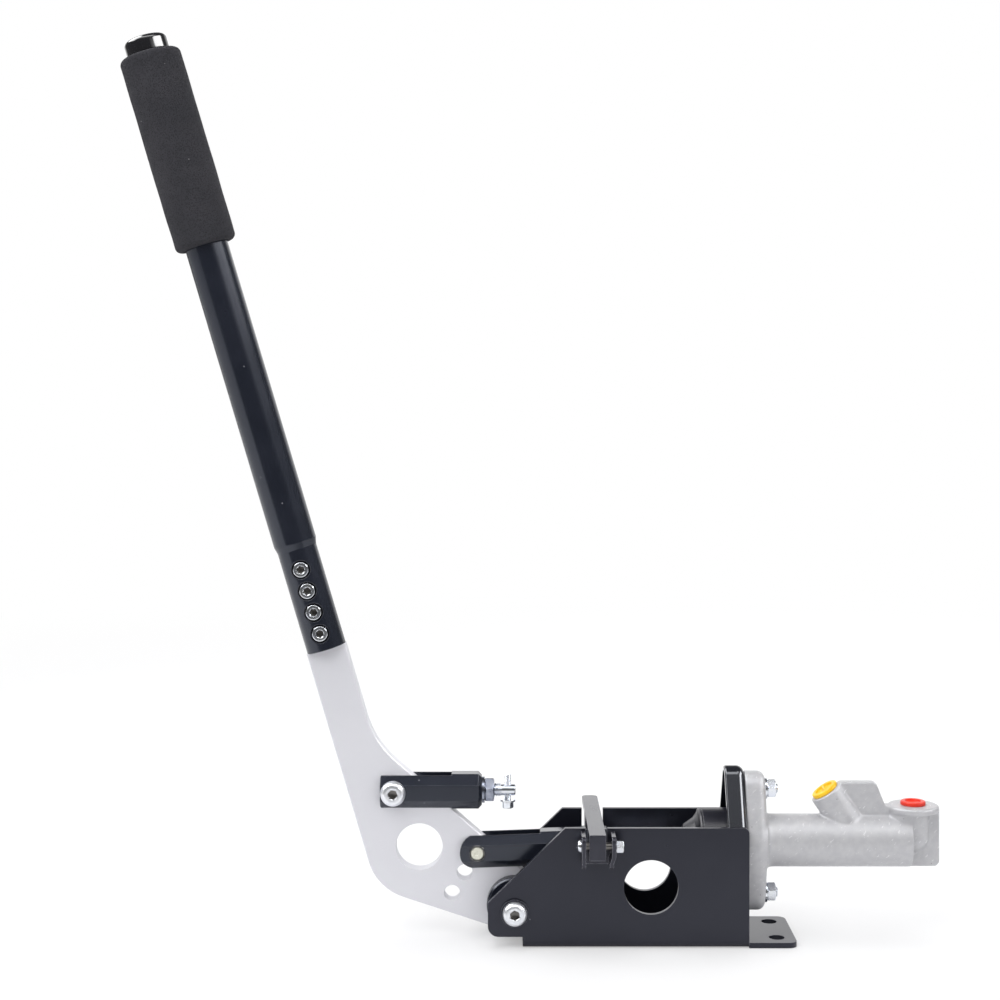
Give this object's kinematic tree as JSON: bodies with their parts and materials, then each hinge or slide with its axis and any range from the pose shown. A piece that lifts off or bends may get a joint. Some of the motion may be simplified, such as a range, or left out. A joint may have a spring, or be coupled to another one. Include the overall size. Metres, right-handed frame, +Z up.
{
  "type": "parking brake lever",
  "caption": "Tall hydraulic parking brake lever: foam-gripped mast on a pivoting plate, clevis and push rod to a cast master cylinder, in a folded floor base.",
  "frame": {"origin": "centre of the four floor bolts, on the underside of the base", "axes": "+Z up, +X from the lever towards the master cylinder, -Y the side with the latch hinge and the bolt heads"},
  "size_m": [0.4737, 0.102, 0.523],
  "materials": {
    "black_steel": "semi-gloss black powder coat",
    "latch_steel": "satin black coat",
    "black_aluminium": "black anodised",
    "plate_aluminium": "satin silver anodised",
    "cast_aluminium": "as cast, blasted",
    "piston_aluminium": "turned",
    "zinc_steel": "zinc plated",
    "pin_steel": "ground, pale",
    "spring_steel": "oiled spring steel",
    "bronze": "sintered bronze",
    "foam": "closed-cell foam, matt",
    "cap_plastic": "glossy black plastic",
    "boot_rubber": "moulded rubber",
    "seal_rubber": "moulded rubber",
    "yellow_plastic": "soft yellow plastic",
    "red_plastic": "soft red plastic"
  },
  "bodies": {
    "frame": {"base_channel": "black_steel", "rear_upright": "black_steel", "latch_bracket": "black_steel", "latch_bolt": "zinc_steel", "latch_nut": "zinc_steel", "pivot_bolt": "zinc_steel", "pivot_nut": "zinc_steel", "pivot_washers": "black_steel", "pivot_spacers": "zinc_steel", "master_cylinder": "cast_aluminium", "inlet_plug": "yellow_plastic", "outlet_plug": "red_plastic", "flange_bolts": "zinc_steel", "flange_nuts": "zinc_steel", "flange_washers": "zinc_steel", "boot": "boot_rubber", "stop_washer": "zinc_steel", "circlip": "spring_steel", "return_spring": "spring_steel"},
    "lever": {"lever_plate": "plate_aluminium", "hub_disc_near": "black_aluminium", "hub_disc_far": "black_aluminium", "pivot_bush": "bronze", "rod_pin_bush": "bronze", "mast": "black_aluminium", "mast_screws": "zinc_steel", "foam_grip": "foam", "end_cap": "cap_plastic"},
    "push_rod": {"push_rod_clevis": "black_aluminium", "rod_pin": "pin_steel", "push_rod": "zinc_steel", "rod_jam_nut": "zinc_steel"},
    "piston": {"piston": "piston_aluminium", "rear_seal": "seal_rubber", "front_seal": "seal_rubber"},
    "cable_clevis": {"cable_clevis": "black_aluminium", "cable_bolt": "zinc_steel", "cable_nut": "zinc_steel", "cable_stud": "zinc_steel", "stud_nut": "zinc_steel", "stud_washer": "zinc_steel", "pinch_bolt": "zinc_steel", "pinch_washer": "zinc_steel"},
    "latch": {"latch_bar": "latch_steel"}
  },
  "joints": [
    {"name": "lever_swing", "type": "hinge", "parent": "frame", "child": "lever", "pos_m": [-0.0855, 0, 0.02], "axis": [0, 1, 0], "range_deg": [0, 22]},
    {"name": "rod_swing", "type": "hinge", "parent": "lever", "child": "push_rod", "pos_m": [-0.107, 0, 0.0495], "axis": [0, 1, 0], "range_deg": [-19.8, 0]},
    {"name": "piston_slide", "type": "slide", "parent": "frame", "child": "piston", "axis": [1, 0, 0], "range_m": [0, 0.01275], "deforming": ["return_spring"]},
    {"name": "cable_clevis_swing", "type": "hinge", "parent": "lever", "child": "cable_clevis", "pos_m": [-0.1555, 0, 0.0842], "axis": [0, 1, 0], "range_deg": [-75, 0]},
    {"name": "latch_swing", "type": "hinge", "parent": "frame", "child": "latch", "pos_m": [-0.0392, -0.036, 0.0604], "axis": [1, 0, 0], "range_deg": [0, 100]}
  ],
  "couplings": [
    {"joint": "rod_swing", "follows": "lever_swing", "ratio": -0.89744},
    {"joint": "piston_slide", "follows": "lever_swing", "m_per_rad": 0.033119}
  ]
}
